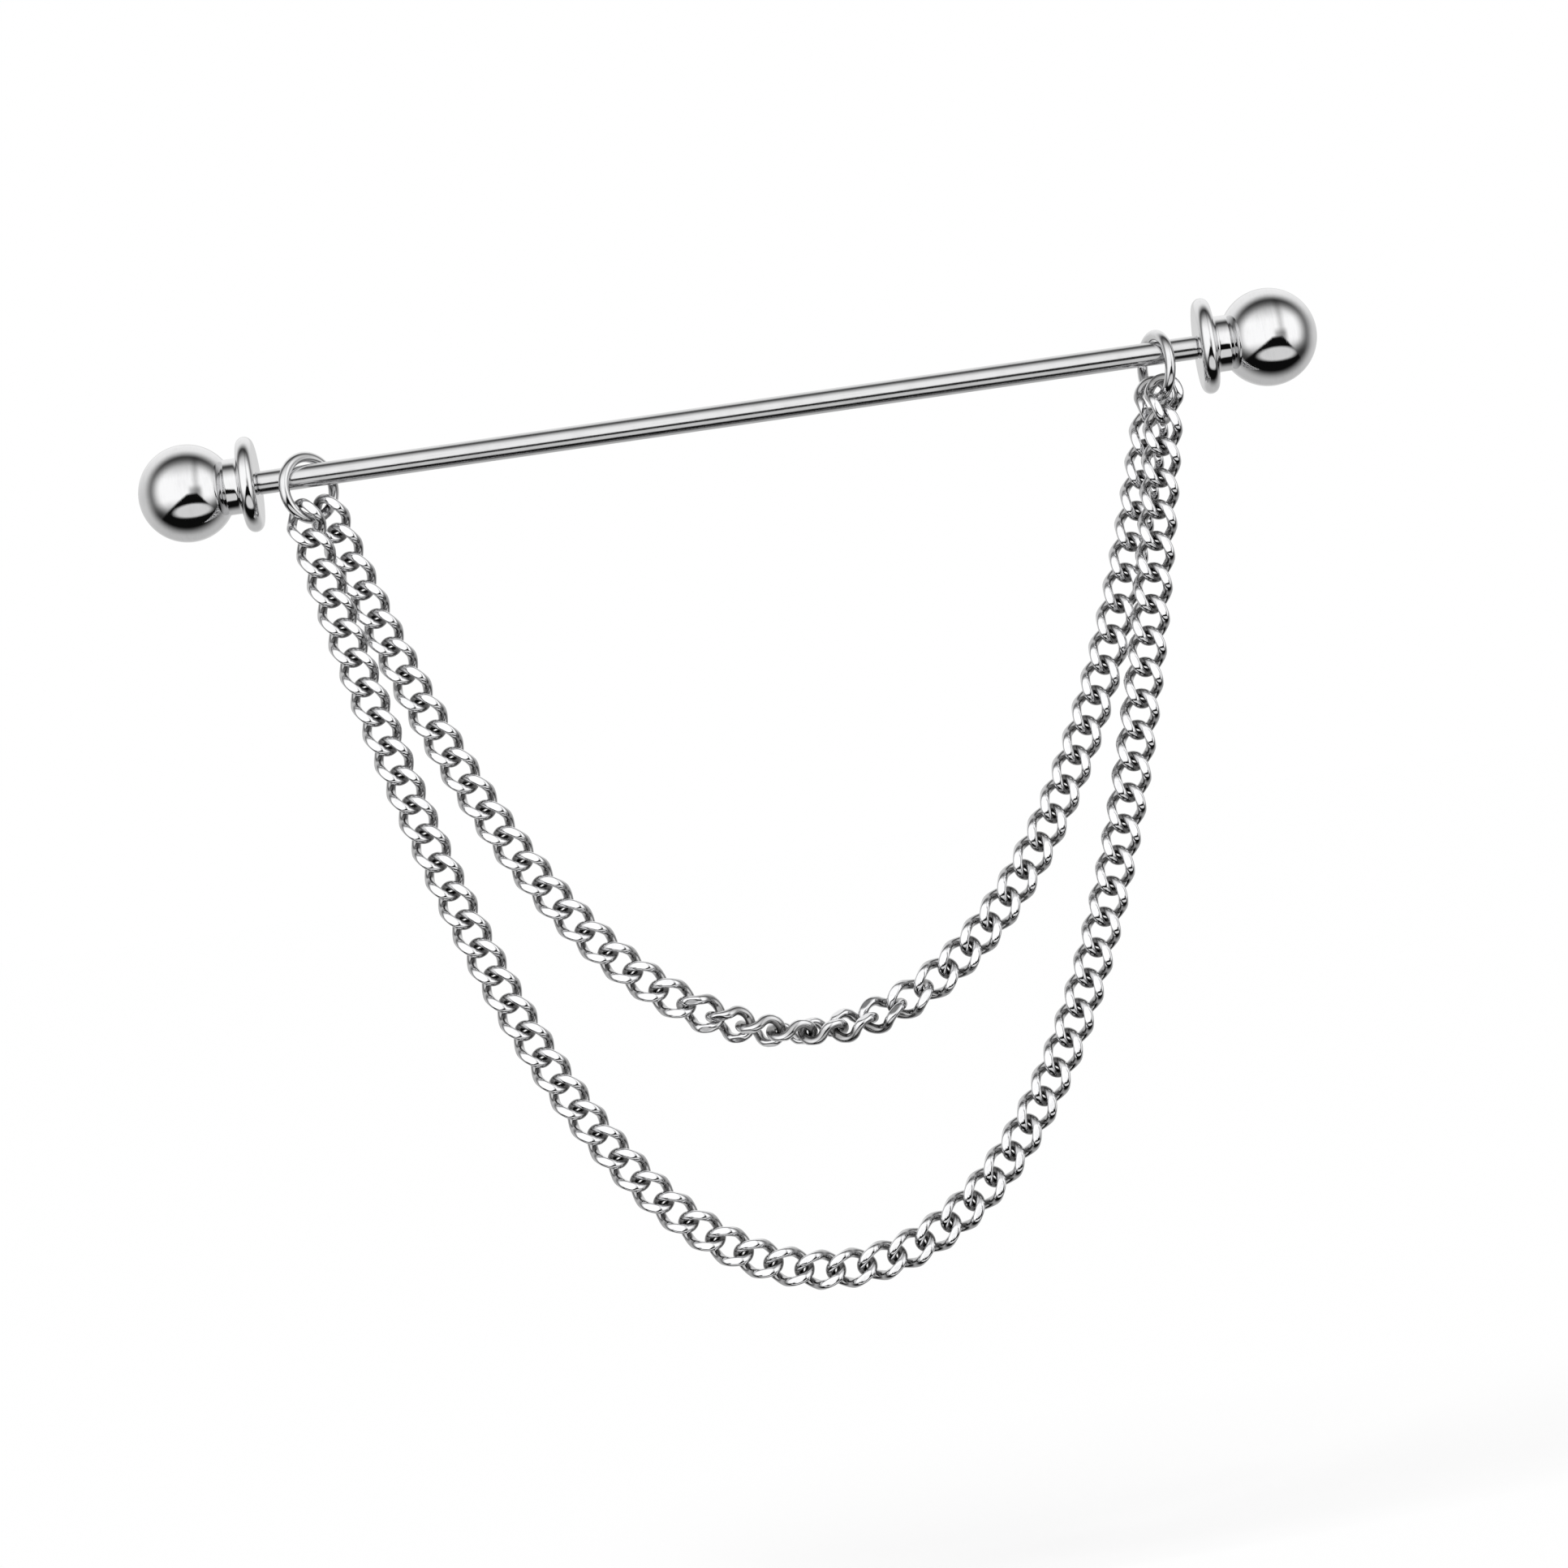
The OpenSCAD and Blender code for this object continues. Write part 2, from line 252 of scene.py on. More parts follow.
@dataclass(frozen=True)
class SteelFinish:
    """One polished finish of the steel, with its fine marks.

    The grain is a fine noise that can be drawn out, the hairlines are finer still, and
    the swirl is a broad noise. Painted shade, read from the mesh, darkens the chain's links.
    Depths are in metres.
    """

    name: str
    tint: Point
    worn_tint: Point
    rough: Pair
    # Near-black colour of the painted shade on the chain's links.
    painted_shade_tint: Point = (0.115, 0.112, 0.108)
    grain: Point = EVEN
    grain_per_m: float = 9000.0
    grain_detail: float = 3.0
    hairline_fineness: float = 3.1
    hairline_detail: float = 2.0
    hairline_edges: Pair = (0.55, 0.80)
    grain_in_marks: float = 0.4
    swirl_per_m: float = 900.0
    swirl_detail: float = 4.0
    swirl_in_wear: float = 0.55
    wear_edges: Pair = (0.42, 0.74)
    wear_share: float = 0.55
    # How strongly painted shade darkens the links, how unevenly, and how much rougher the steel
    # is there.
    painted_shade_share: float = 0.62
    painted_shade_swirl: float = 0.25
    painted_shade_rough: float = 0.12
    mark_strength: float = 0.35
    mark_depth: float = 0.0000012
    wave_strength: float = 0.5
    wave_depth: float = 0.000004

    def material(self) -> bpy.types.Material:
        """Builds the finish, or returns it if it has been built.

        Returns:
            The material.
        """
        known = bpy.data.materials.get(self.name)
        if known:
            return known
        made = bpy.data.materials.new(self.name)
        made.use_nodes = True
        graph = Graph(made.node_tree)
        where = graph.value(graph.add("TexCoord"), "Object")
        grain = graph.stretched_noise(where, self.grain, self.grain_per_m, self.grain_detail)
        hairlines = graph.stretched_noise(
            where, self.grain, self.grain_per_m * self.hairline_fineness, self.hairline_detail
        )
        swirl = graph.stretched_noise(where, EVEN, self.swirl_per_m, self.swirl_detail)
        worn = grain * (1 - self.swirl_in_wear) + swirl * self.swirl_in_wear
        worn = worn.fade(*self.wear_edges)
        # Painted shade, read from the mesh; only the chain's links carry it.
        painted_shade = graph.value(graph.add("Attribute", {"attribute_name": PAINTED_SHADE}), "Fac")
        low, high = self.rough
        shader = graph.add(
            "BsdfPrincipled", Metallic=1.0,
            Base_Color=self._colour(graph, worn, painted_shade, swirl),
            Roughness=low + (high - low) * (grain + worn) / 2 + painted_shade * self.painted_shade_rough,
            Normal=self._relief(graph, hairlines, grain, swirl),
        )
        graph.add("OutputMaterial", Surface=graph.value(shader, "BSDF"))
        return made

    def _colour(self, graph: Graph, worn: Expr, painted_shade: Expr, swirl: Expr) -> Expr:
        """Colour of the steel with its worn places and painted shade.

        Args:
            graph: The finish's node tree.
            worn: How worn each place is.
            painted_shade: How much shade is painted at each place.
            swirl: The broad noise, which makes the painted shade uneven.

        Returns:
            The colour.
        """
        tint = graph.add(
            "Mix", {"data_type": "RGBA"},
            Factor=worn * self.wear_share, A=(*self.tint, 1), B=(*self.worn_tint, 1),
        )
        # Darkens the colour towards a near-black tint where shade is painted.
        with_painted_shade = graph.add(
            "Mix", {"data_type": "RGBA"},
            Factor=painted_shade * (self.painted_shade_share + swirl * self.painted_shade_swirl),
            A=graph.value(tint, "Result"), B=(*self.painted_shade_tint, 1),
        )
        return graph.value(with_painted_shade, "Result")

    def _relief(self, graph: Graph, hairlines: Expr, grain: Expr, swirl: Expr) -> Expr:
        """Normal of the surface with hairlines over soft waves.

        Args:
            graph: The finish's node tree.
            hairlines: The finest noise.
            grain: The fine noise.
            swirl: The broad noise.

        Returns:
            The normal.
        """
        marks = graph.add(
            "Bump", Strength=self.mark_strength, Distance=self.mark_depth,
            Height=hairlines.fade(*self.hairline_edges) + grain * self.grain_in_marks,
        )
        waves = graph.add(
            "Bump", Strength=self.wave_strength, Distance=self.wave_depth,
            Height=swirl, Normal=graph.value(marks, "Normal"),
        )
        return graph.value(waves, "Normal")


ROD_STEEL = SteelFinish(
    "drawn_rod_steel", tint=(0.65, 0.65, 0.655), worn_tint=(0.53, 0.53, 0.535),
    rough=(0.11, 0.20), grain=(0.03, 1.0, 1.0), grain_per_m=12000.0,
)
TURNED_STEEL = SteelFinish(
    "turned_end_steel", tint=(0.75, 0.75, 0.755), worn_tint=(0.64, 0.64, 0.645),
    rough=(0.03, 0.08), grain=(1.0, 0.16, 0.16),
)
RING_STEEL = SteelFinish(
    "ring_wire_steel", tint=(0.74, 0.74, 0.745), worn_tint=(0.62, 0.62, 0.625),
    rough=(0.04, 0.11), grain=(1.0, 0.3, 0.3),
)
CHAIN_STEEL = SteelFinish(
    "tumbled_chain_steel", tint=(0.82, 0.82, 0.83), worn_tint=(0.65, 0.65, 0.66),
    rough=(0.03, 0.09), swirl_per_m=1500.0,
)
THREAD_STEEL = SteelFinish(
    "cut_thread_steel", tint=(0.78, 0.78, 0.79), worn_tint=(0.80, 0.80, 0.805),
    rough=(0.14, 0.28), grain=(0.2, 1.0, 1.0),
)


def limited(value: float) -> float:
    """The value, held between 0 and 1."""
    return min(1.0, max(0.0, value))


def finish_mesh(
    name: str, made: bmesh.types.BMesh, steel: SteelFinish, sharp: float
) -> bpy.types.Object:
    """Turns built geometry into a dressed object.

    Args:
        name: Name of the new piece.
        made: The geometry, in metres.
        steel: Its finish.
        sharp: Angle in degrees over which an edge stays crisp.

    Returns:
        The object, linked into the scene.
    """
    bmesh.ops.recalc_face_normals(made, faces=made.faces)
    mesh = bpy.data.meshes.new(name)
    made.to_mesh(mesh)
    made.free()
    mesh.shade_smooth()
    mesh.set_sharp_from_angle(angle=math.radians(sharp))
    mesh.materials.append(steel.material())
    piece = bpy.data.objects.new(name, mesh)
    bpy.context.scene.collection.objects.link(piece)
    return piece


def place_piece(piece: bpy.types.Object, body: str, *nodes: str) -> None:
    """Lets a piece ride on a body in place of its CAD nodes.

    Args:
        piece: The dressed object.
        body: The body that it moves with.
        nodes: The CAD nodes that it stands for.
    """
    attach(piece, body)
    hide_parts(*nodes)
    LOG.info("%s rides on %s in place of %s", piece.name, body, ", ".join(nodes))


def turned(
    made: bmesh.types.BMesh, profile: Sequence[Pair], around: int,
    relief: Callable[[float, float], float] | None = None,
) -> None:
    """Turns a closed solid about the X axis.

    Args:
        made: Receives the faces.
        profile: Pairs of X and radius in mm, from pole to pole.
        around: Number of columns round the axis.
        relief: Change of the radius in mm at an X and an angle.
    """
    rings: list[list[bmesh.types.BMVert]] = []
    for x, radius in profile:
        if radius <= 0:
            rings.append([made.verts.new((x * MM, 0, 0))])
            continue
        ring = []
        for k in range(around):
            angle = math.tau * k / around
            r = (radius + (relief(x, angle) if relief else 0)) * MM
            ring.append(made.verts.new((x * MM, r * math.cos(angle), r * math.sin(angle))))
        rings.append(ring)
    for one, two in zip(rings, rings[1:]):
        for k in range(around):
            j = (k + 1) % around
            corners = [one[k % len(one)], one[j % len(one)], two[j % len(two)], two[k % len(two)]]
            made.faces.new(list(dict.fromkeys(corners)))


def arc(centre: Pair, radius: float, start: float, end: float, steps: int) -> list[Pair]:
    """Points of an arc in the plane of X and radius.

    Args:
        centre: X and radius of its centre in mm.
        radius: Its radius in mm.
        start: First angle in degrees, from +X towards a greater radius.
        end: Last angle in degrees.
        steps: Number of steps.

    Returns:
        The points, both ends included.
    """
    angles = [math.radians(start + (end - start) * k / steps) for k in range(steps + 1)]
    return [(centre[0] + radius * math.cos(a), centre[1] + radius * math.sin(a)) for a in angles]


@dataclass
class Rod:
    """The straight rod with a threaded spigot at each end, in mm."""

    span: float = 48.4
    diameter: float = 1.2
    edge: float = 0.06
    spigot_diameter: float = 0.85
    spigot_length: float = 2.2
    thread_pitch: float = 0.25
    thread_depth: float = 0.075
    depth_at_tip: float = 0.3
    columns: int = 48
    rows_per_pitch: int = 8
    middle_rows: int = 24
    sharp: float = 28.0

    def profile(self) -> list[Pair]:
        """Outline of the rod, from one tip to the other.

        Returns:
            Pairs of X and radius.
        """
        rows = round(self.spigot_length / self.thread_pitch * self.rows_per_pitch)
        step = self.spigot_length / rows
        half, radius, spigot = self.span / 2, self.diameter / 2, self.spigot_diameter / 2
        tip = half + self.spigot_length
        spigot_rows = [(tip - k * step, spigot) for k in range(1, rows)]
        right = [(tip, 0), (tip, spigot - self.thread_depth)] + spigot_rows
        right += [(half, spigot), (half, radius - self.edge), (half - self.edge, radius)]
        last = self.middle_rows
        middle = [(half * (1 - 2 * k / last), radius) for k in range(1, last)]
        return right + middle + [(-x, r) for x, r in reversed(right)]

    def thread(self, x: float, angle: float) -> float:
        """Depth of the thread at a place.

        Args:
            x: Place along the rod in mm.
            angle: Angle round the rod.

        Returns:
            The change of the radius in mm, 0 on the plain rod.
        """
        inside = abs(x) - self.span / 2
        if not 0 < inside < self.spigot_length:
            return 0.0
        phase = (abs(x) / self.thread_pitch - math.copysign(angle, x) / math.tau) % 1
        turns_in = inside / self.thread_pitch
        turns_left = (self.spigot_length - inside) / self.thread_pitch
        runout = min(1.0, turns_in, turns_left + self.depth_at_tip)
        return -self.thread_depth * runout * abs(2 * phase - 1)

    def build(self) -> None:
        """Builds the rod and puts it on the bar."""
        made = bmesh.new()
        turned(made, self.profile(), self.columns, self.thread)
        piece = finish_mesh("rod_with_threads", made, ROD_STEEL, self.sharp)
        piece.data.materials.append(THREAD_STEEL.material())
        for face in piece.data.polygons:
            if abs(face.center.x) > self.span / 2 * MM:
                face.material_index = 1
        place_piece(piece, "bar", "rod")


@dataclass
class BallEnd:
    """A turned end piece of flange, neck and ball, in mm from the flange face."""

    side: Side
    node: str
    body: str
    face: float = 24.2
    hole_diameter: float = 0.91
    hole_depth: float = 2.5
    hole_edge: float = 0.06
    flange_diameter: float = 4.9
    flange_thick: float = 0.86
    neck_diameter: float = 2.85
    neck_reach: float = 2.79
    flange_fillet: float = 0.24
    ball_fillet: float = 0.09
    ball_diameter: float = 4.996
    face_row: float = 0.7
    row_gap: float = 0.02
    fillet_overlap: float = 1.0
    rim_steps: int = 24
    flange_fillet_steps: int = 10
    ball_fillet_steps: int = 6
    ball_steps: int = 80
    columns: int = 128
    sharp: float = 32.0

    def profile(self) -> list[Pair]:
        """Outline of the end piece, from the bottom of its hole to the ball's pole.

        Returns:
            Pairs of the distance from the flange face and the radius.
        """
        hole, rim, neck = self.hole_diameter / 2, self.flange_thick / 2, self.neck_diameter / 2
        rim_centre = self.flange_diameter / 2 - rim
        ball, centre = self.ball_diameter / 2, self.flange_thick + self.neck_reach
        points = [(self.hole_depth, 0), (self.hole_depth, hole), (self.hole_edge, hole)]
        points += [(0, hole + self.hole_edge), (0, rim_centre * self.face_row)]
        points += [(0, rim_centre - self.row_gap)]
        points += arc((rim, rim_centre), rim, 180, 0, self.rim_steps)
        points += [(self.flange_thick, neck + self.flange_fillet + self.row_gap)]
        points += arc(
            (self.flange_thick + self.flange_fillet, neck + self.flange_fillet),
            self.flange_fillet, 180, 270, self.flange_fillet_steps,
        )
        fillet, reach = self.ball_fillet, self.ball_diameter / 2 + self.ball_fillet
        drop = math.sqrt(reach**2 - (neck + fillet) ** 2)
        touch = math.degrees(math.atan2(neck + fillet, drop))
        points += arc(
            (centre - drop, neck + fillet), fillet, 270, 360 - touch, self.ball_fillet_steps
        )
        first = 180 - touch - self.fillet_overlap
        points += arc((centre, 0), ball, first, 0.0, self.ball_steps)[:-1]
        return points + [(centre + ball, 0)]

    def build(self) -> None:
        """Builds the end piece and puts it on its body."""
        made = bmesh.new()
        sign = self.side.value
        turned(made, [(sign * (self.face + x), r) for x, r in self.profile()], self.columns)
        name = f"ball_end_{self.side.name.lower()}"
        place_piece(finish_mesh(name, made, TURNED_STEEL, self.sharp), self.body, self.node)


def sweep(
    made: bmesh.types.BMesh, line: Sequence[Vector], radius: float,
    around: int, closed: bool, cut: float | None = None,
) -> None:
    """Sweeps round wire along a line that never runs upright.

    Args:
        made: Receives the faces.
        line: The wire's middle, in mm.
        radius: Radius of the wire in mm.
        around: Number of sides of the wire.
        closed: Whether the line's ends meet.
        cut: Height in mm at which both faces are ground flat.
    """
    count = len(line)
    rings = []
    for k, point in enumerate(line):
        before = line[k - 1] if closed or k else line[0]
        after = line[(k + 1) % count] if closed or k < count - 1 else line[-1]
        along = (after - before).normalized()
        up = (UPRIGHT - UPRIGHT.dot(along) * along).normalized()
        out = along.cross(up)
        ring = []
        for j in range(around):
            angle = math.tau * (j + 0.5) / around
            spot = point + radius * (math.cos(angle) * out + math.sin(angle) * up)
            if cut is not None:
                spot.z = max(-cut, min(cut, spot.z))
            ring.append(made.verts.new(spot * MM))
        rings.append(ring)
    for k in range(count if closed else count - 1):
        one, two = rings[k], rings[(k + 1) % count]
        for j in range(around):
            i = (j + 1) % around
            made.faces.new((one[j], one[i], two[i], two[j]))
    if not closed:
        made.faces.new(rings[0])
        made.faces.new(rings[-1])


@dataclass
class JumpRing:
    """A jump ring of round wire with its closed cut, in mm."""

    side: Side
    node: str
    body: str
    turn: float
    outer_diameter: float = 3.75
    wire: float = 0.55
    lean: float = 4.0
    cut_width: float = 0.025
    cut_place: float = 118.0
    steps: int = 160
    columns: int = 32
    sharp: float = 40.0

    def build(self) -> None:
        """Builds the ring where its CAD node hangs and puts it on its body."""
        low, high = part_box(self.node)
        centre = (Vector(low) + Vector(high)) / 2
        mid = (self.outer_diameter - self.wire) / 2
        half_cut = math.degrees(self.cut_width / mid / 2)
        sweep_angle = 360 - 2 * half_cut
        line = []
        for k in range(self.steps + 1):
            angle = math.radians(self.cut_place + half_cut + sweep_angle * k / self.steps)
            line.append(Vector((mid * math.cos(angle), mid * math.sin(angle), 0)))
        made = bmesh.new()
        sweep(made, line, self.wire / 2, self.columns, False)
        place = (
            Matrix.Translation(centre)
            @ Matrix.Rotation(math.radians(self.lean * self.side.value), 4, "Y")
            @ Matrix.Rotation(math.radians(self.turn), 4, "Z")
            @ Matrix.Rotation(math.radians(90), 4, "Y")
        )
        bmesh.ops.transform(made, matrix=place, verts=made.verts)
        piece = finish_mesh(f"jump_{self.node}", made, RING_STEEL, self.sharp)
        place_piece(piece, self.body, self.node)


@dataclass(frozen=True)
class CurbLink:
    """The shape of one curb link lying along X, in mm."""

    wire: float = 0.5
    hole_length: float = 1.66
    hole_width: float = 1.05
    twist: float = 40.0
    half_bend: float = 44.2
    ground_height: float = 0.54
    # Where shade is painted on the wire: towards the ends, low between the ground faces, and how
    # much on the sides away from the ends.
    painted_shade_ends: Pair = (0.50, 0.86)
    painted_shade_heights: Pair = (0.20, 0.42)
    side_painted_shade: float = 0.62
    bend_steps: int = 20
    side_steps: int = 14
    columns: int = 20

    def line(self) -> list[Vector]:
        """Middle of the wire, once round the link.

        A bend at each end and a side between them are arcs. The link is the same after
        half a turn about any of its three axes, so a quarter of it gives the rest.

        Returns:
            The points.
        """
        half_l, half_w = (self.hole_length + self.wire) / 2, (self.hole_width + self.wire) / 2
        c, s = math.cos(math.radians(self.half_bend)), math.sin(math.radians(self.half_bend))
        tc, ts = math.cos(math.radians(self.twist)), math.sin(math.radians(self.twist))
        # The bend's radius solves a quadratic, so that the side leaves the bend and passes
        # the middle of the link without a kink.
        square = tc * (1 - c)
        linear = half_l * tc * (1 - c) + s * half_w
        rest = 2 * half_l * s * half_w - c * tc * (half_l**2 - half_w**2)
        bend = (linear - math.sqrt(linear * linear - 2 * square * rest)) / (2 * square)
        middle = half_l - bend
        end = []
        for k in range(self.bend_steps + 1):
            t = math.radians(self.half_bend * (2 * k / self.bend_steps - 1))
            rise = bend * math.sin(t)
            end.append(Vector((middle + bend * math.cos(t), rise * tc, -rise * ts)))
        start, way = end[-1], Vector((-s, c * tc, -c * ts))
        chord = Vector((0, half_w, 0)) - start
        half = math.acos(way.dot(chord.normalized()))
        radius = chord.length / (2 * math.sin(half))
        inward = (chord.normalized() - math.cos(half) * way).normalized()
        hub = start + radius * inward
        side = []
        for k in range(1, self.side_steps + 1):
            t = 2 * half * k / self.side_steps
            side.append(hub + radius * (-math.cos(t) * inward + math.sin(t) * way))
        quarter_turn = [Vector((-p.x, p.y, -p.z)) for p in reversed(side[:-1])]
        half_loop = end + side + quarter_turn
        return half_loop + [Vector((-p.x, -p.y, p.z)) for p in half_loop]

    def add_to(self, made: bmesh.types.BMesh, place: Matrix) -> None:
        """Adds the link to a mesh.

        Args:
            made: Receives the link.
            place: Where the link lies, in metres.
        """
        old = len(made.verts)
        sweep(made, self.line(), self.wire / 2, self.columns, True, self.ground_height)
        made.verts.ensure_lookup_table()
        # Stores painted shade on each point of the link.
        painted_shade = made.verts.layers.float[PAINTED_SHADE]
        for vert in made.verts[old:]:
            vert[painted_shade] = self.painted_shade(vert.co / MM)
        bmesh.ops.transform(made, matrix=place, verts=made.verts[old:])

    def painted_shade(self, spot: Vector) -> float:
        """How much shade is painted on the wire at a place: most between the ground faces and at
        the ends, where the links cross.

        Args:
            spot: Place on the link in mm.

        Returns:
            The painted shade, from 0 to 1.
        """
        near, far = self.painted_shade_ends
        low, high = self.painted_shade_heights
        end = limited((abs(spot.x) - near) / (far - near))
        deep = limited((high - abs(spot.z)) / (high - low))
        return deep * (self.side_painted_shade + (1 - self.side_painted_shade) * end)


@dataclass
class Chain:
    """One hanging chain, whose links lie where its CAD nodes lie."""

    name: str
    pairs: int
    link: CurbLink = field(default_factory=CurbLink)
    sharp: float = 60.0

    @staticmethod
    def _triangles(node: bpy.types.Object) -> tuple[np.ndarray, np.ndarray]:
        """Reads the triangles of a CAD node.

        Args:
            node: The CAD node's object.

        Returns:
            The points in metres, and the three point numbers of each triangle.
        """
        mesh = node.data
        spots = np.empty(len(mesh.vertices) * 3)
        mesh.vertices.foreach_get("co", spots)
        mesh.calc_loop_triangles()
        corners = np.empty(len(mesh.loop_triangles) * 3, dtype=np.int64)
        mesh.loop_triangles.foreach_get("vertices", corners)
        return spots.reshape(-1, 3), corners.reshape(-1, 3)

    @staticmethod
    def _solids(spots: np.ndarray, corners: np.ndarray) -> np.ndarray:
        """Finds which triangles hang together.

        Args:
            spots: The points in metres.
            corners: The three point numbers of each triangle.

        Returns:
            A number for each triangle, the same all over one solid.
        """
        rounded = np.round(spots * WELDS_PER_M).astype(np.int64)
        welded = np.unique(rounded, axis=0, return_inverse=True)[1].reshape(-1)
        faces = welded[corners]
        label = np.arange(welded.max() + 1)
        while True:
            least = label[faces].min(axis=1)
            newer = label.copy()
            for k in range(3):
                np.minimum.at(newer, faces[:, k], least)
            newer = newer[newer]
            if (newer == label).all():
                return label[faces[:, 0]]
            label = newer

    @staticmethod
    def _placement(corners: np.ndarray) -> Matrix:
        """Finds where a link lies from the main axes of its surface.

        Args:
            corners: The corners of its triangles in metres.

        Returns:
            The placement.
        """
        a, b, c = np.moveaxis(corners, 1, 0)
        area = np.linalg.norm(np.cross(b - a, c - a), axis=1) / 2
        centre = ((a + b + c) * area[:, None]).sum(0) / 3 / area.sum()
        a, b, c = a - centre, b - centre, c - centre
        # The second moment of a triangle is a twelfth of its area times these squares.
        spread = sum(
            np.einsum("i,ij,ik->jk", area / 12, p, p) for p in (a, b, c, a + b + c)
        )
        axes = np.linalg.eigh(spread)[1][:, ::-1]
        axes[:, 2] = np.cross(axes[:, 0], axes[:, 1])
        place = Matrix([list(row) for row in axes]).to_4x4()
        place.translation = Vector(centre)
        return place

    def places(self, node: bpy.types.Object) -> list[Matrix]:
        """Finds where each solid of a node lies.

        A curb link looks the same after half a turn about any of its three axes,
        so its main axes are enough to place it.

        Args:
            node: The CAD node's object.

        Returns:
            One placement for each solid.
        """
        spots, corners = self._triangles(node)
        solids = self._solids(spots, corners)
        return [self._placement(spots[corners[solids == one]]) for one in np.unique(solids)]

    def build(self) -> None:
        """Builds the links of every node and puts them on its body."""
        levels = [f"{self.name}_{k:02d}" for k in range(1, self.pairs + 1)]
        for node in [*levels, f"{self.name}_bottom"]:
            made = bmesh.new()
            made.verts.layers.float.new(PAINTED_SHADE)
            for place in self.places(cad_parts[node]):
                self.link.add_to(made, place)
            place_piece(finish_mesh(f"{node}_links", made, CHAIN_STEEL, self.sharp), node, node)


@dataclass(frozen=True)
class Surroundings:
    """What the metal mirrors, drawn as it would stand in a chrome ball.

    Across runs to the right and up runs upwards, both from -1 to 1 at the ball's edge.
    Outside a dark contour stands the pale backdrop behind the object. Inside it is the
    room on the camera's side: a bright sky over a dark skyline with one peak, and a lens
    of light in the dark. A pair is a place, a size, or the start and end of a change.
    """

    contour_middle: Pair = (0.03, 0.04)
    contour_half: Pair = (1.045, 0.98)
    contour_sink: float = 0.12
    contour: Pair = (0.68, 0.86)
    backdrop_low: float = 0.50
    backdrop_middle: float = 0.60
    backdrop_top: float = 0.87
    lower_rise: Pair = (-0.8, 0.0)
    upper_rise: Pair = (0.0, 0.95)
    straight_behind: Pair = (0.965, 1.0)
    sky_level: float = 1.05
    skyline: float = -0.05
    skyline_soft: float = 0.035
    peak: Pair = (0.04, 0.24)
    slopes: Pair = (0.62, 1.2)
    strip_soft: float = 0.06
    gap: Pair = (0.19, 0.30)
    gap_depth: float = 0.36
    haze: Pair = (0.10, 0.34)
    haze_top: float = 0.16
    haze_depth: float = 0.60
    ceiling: Pair = (0.26, 0.72)
    ceiling_depth: float = 0.78
    shade: Pair = (0.48, 0.71)
    shade_depth: float = 0.84
    foot: Pair = (-0.40, -0.08)
    foot_level: float = 0.2
    lens_middle: Pair = (0.10, -0.39)
    lens_half: Pair = (0.42, 0.145)
    lens_edge: Pair = (0.72, 1.12)
    lens_level: float = 0.67
    darkest: float = 0.004
    gain: float = 1.21

    def level(self, graph: Graph) -> Expr:
        """Brightness from each direction.

        Args:
            graph: The world's node tree.

        Returns:
            The brightness, where 1 is white.
        """
        x, y, z = graph.axes(graph.value(graph.add("TexCoord"), "Generated"))
        # A chrome ball shows each direction at the place that mirrors it to the camera.
        facing = (2 - 2 * y).apply("SQRT")
        across, up = x / facing, z / facing
        reach = self._distance(across, up, self.contour_middle, self.contour_half)
        outside = (reach + self.contour_sink * up.apply("MINIMUM", 0.0)).fade(*self.contour)
        backdrop = self._backdrop(up, ((1 + y) / 2).apply("SQRT"))
        room = self._room(across, up, reach)
        return self.gain * (self.darkest + room * (1 - outside) + backdrop * outside)

    @staticmethod
    def _distance(across: Expr, up: Expr, middle: Pair, half: Pair) -> Expr:
        """Distance from the middle of an ellipse, counted in its half sizes."""
        side, rise = (across - middle[0]) / half[0], (up - middle[1]) / half[1]
        return (side * side + rise * rise).apply("SQRT")

    def _backdrop(self, up: Expr, edge: Expr) -> Expr:
        """Brightness of the backdrop behind the object.

        Args:
            up: Place in the ball, upwards.
            edge: Distance from the ball's middle, which is 1 straight behind the object.

        Returns:
            The brightness, made even where the ball's whole edge is one direction.
        """
        low, middle, top = self.backdrop_low, self.backdrop_middle, self.backdrop_top
        level = low + (middle - low) * up.fade(*self.lower_rise)
        level = level + (top - middle) * up.fade(*self.upper_rise)
        behind = edge.fade(*self.straight_behind)
        return level * (1 - behind) + middle * behind

    def _room(self, across: Expr, up: Expr, reach: Expr) -> Expr:
        """Brightness of the room on the camera's side.

        Args:
            across: Place in the ball, to the right.
            up: Place in the ball, upwards.
            reach: Distance from the middle of the dark contour.

        Returns:
            The brightness, where 1 is white.
        """
        left, right = self.peak
        soft = self.skyline_soft
        flank = (left - across).apply("MAXIMUM", 0.0) * self.slopes[0]
        flank = flank + (across - right).apply("MAXIMUM", 0.0) * self.slopes[1]
        dark = 1 - (up + flank - self.skyline).fade(-soft, soft)
        gap = self.gap_depth * across.band(*self.gap, self.strip_soft)
        haze = self.haze_depth * across.band(*self.haze, self.strip_soft)
        haze = haze * (1 - up.fade(0, self.haze_top))
        sky = self.sky_level * (1 - gap) * (1 - haze)
        sky = sky * (1 - self.ceiling_depth * up.fade(*self.ceiling))
        sky = sky * (1 - self.shade_depth * reach.fade(*self.shade))
        sky = sky * (self.foot_level + (1 - self.foot_level) * up.fade(*self.foot))
        lens = self._distance(across, up, self.lens_middle, self.lens_half)
        light = self.lens_level * (1 - lens.fade(*self.lens_edge))
        return sky * (1 - dark) + dark * light


